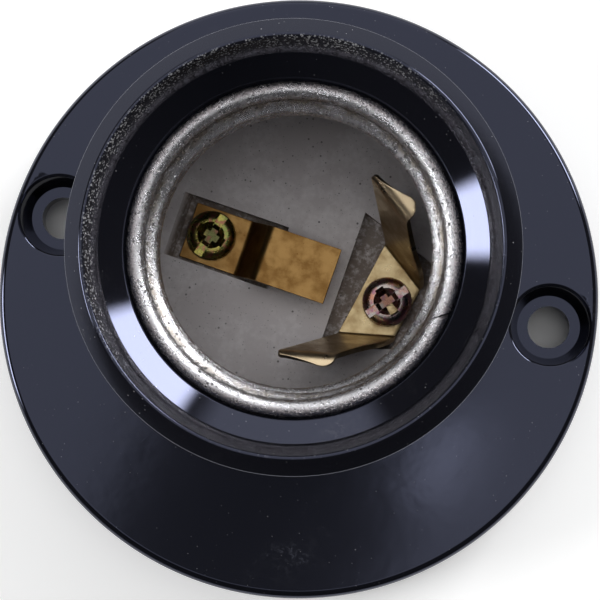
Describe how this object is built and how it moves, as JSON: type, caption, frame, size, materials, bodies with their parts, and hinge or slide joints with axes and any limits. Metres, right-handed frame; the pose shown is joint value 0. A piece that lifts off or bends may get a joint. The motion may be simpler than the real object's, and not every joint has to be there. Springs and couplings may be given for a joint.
{
  "type": "lamp holder",
  "caption": "Round wall lamp holder for a 27 mm screw lamp cap, with a screw-on collar, ceramic contact insert and brass contacts.",
  "frame": {"origin": "centre of the round flange's back face, where it meets the wall", "axes": "+Z out of the wall along the socket's axis, +X along the line of the two fixing holes"},
  "size_m": [0.0596, 0.0596, 0.053],
  "materials": {
    "phenolic": "moulded black phenolic, glossy, with dust and fine scratches",
    "zinc_sheet": "rolled zinc-plated sheet, satin, pitted with dark specks",
    "ceramic": "unglazed grey steatite with fine dark specks",
    "brass": "stamped sheet brass, dull in places",
    "yellow_zinc": "steel with a yellow iridescent chromate film"
  },
  "bodies": {
    "base": {"base_body": "phenolic", "contact_insert": "ceramic", "centre_contact": "brass", "centre_contact_screw": "yellow_zinc", "side_contact": "brass", "side_contact_screw": "yellow_zinc", "centre_terminal_plate": "brass", "side_terminal_plate": "brass", "centre_terminal_screw": "yellow_zinc", "side_terminal_screw": "yellow_zinc", "centre_clamp_washer": "yellow_zinc", "side_clamp_washer": "yellow_zinc"},
    "shell_carrier": {"screw_shell": "zinc_sheet"},
    "collar": {"collar": "phenolic"}
  },
  "joints": [
    {"name": "collar_lift", "type": "slide", "parent": "base", "child": "shell_carrier", "axis": [0, 0, 1], "range_m": [0, 0.0225]},
    {"name": "collar_turn", "type": "hinge", "parent": "shell_carrier", "child": "collar", "pos_m": [0, 0.0028, 0.03], "axis": [0, 0, 1], "range_deg": [0, 2700]}
  ],
  "couplings": [
    {"joint": "collar_lift", "follows": "collar_turn", "m_per_rad": 0.00047746}
  ]
}
